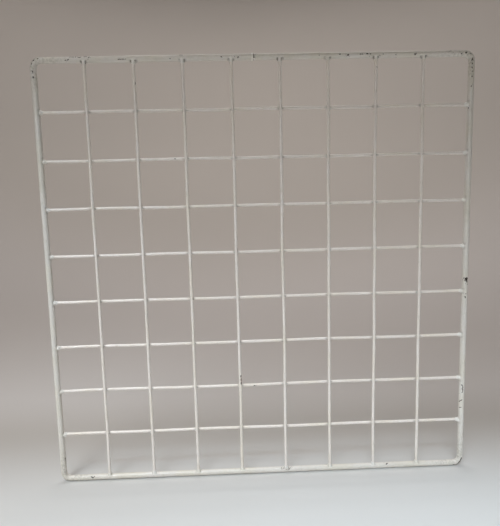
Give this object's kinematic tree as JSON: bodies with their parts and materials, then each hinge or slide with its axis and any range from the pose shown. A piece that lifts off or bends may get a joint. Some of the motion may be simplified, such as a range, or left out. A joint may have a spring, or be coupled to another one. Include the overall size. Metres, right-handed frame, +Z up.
{
  "type": "wire grid panel",
  "caption": "Square welded wire grid panel: a thick round rod bent to a rounded square, filled with thinner upright and cross wires, coated off-white.",
  "frame": {"origin": "middle of the top bar, on the frame rod's centreline", "axes": "+Z up along the upright wires, +X to the right along the cross wires, front with the upright wires' layer facing -Y"},
  "size_m": [0.3556, 0.0058, 0.356],
  "materials": {
    "coated_rod": "semi-gloss off-white coating on steel rod, chipped",
    "coated_wire": "semi-gloss off-white coating on steel wire",
    "coated_weld": "off-white coating over weld metal, thin and chipped"
  },
  "bodies": {
    "root": {"frame_rod": "coated_rod", "butt_weld": "coated_weld", "upright_wire_1": "coated_wire", "upright_wire_2": "coated_wire", "upright_wire_3": "coated_wire", "upright_wire_4": "coated_wire", "upright_wire_5": "coated_wire", "upright_wire_6": "coated_wire", "upright_wire_7": "coated_wire", "upright_wire_8": "coated_wire", "cross_wire_1": "coated_wire", "cross_wire_2": "coated_wire", "cross_wire_3": "coated_wire", "cross_wire_4": "coated_wire", "cross_wire_5": "coated_wire", "cross_wire_6": "coated_wire", "cross_wire_7": "coated_wire", "cross_wire_8": "coated_wire", "crossing_welds": "coated_weld", "top_end_welds": "coated_weld", "bottom_end_welds": "coated_weld", "left_end_welds": "coated_weld", "right_end_welds": "coated_weld"}
  },
  "joints": []
}
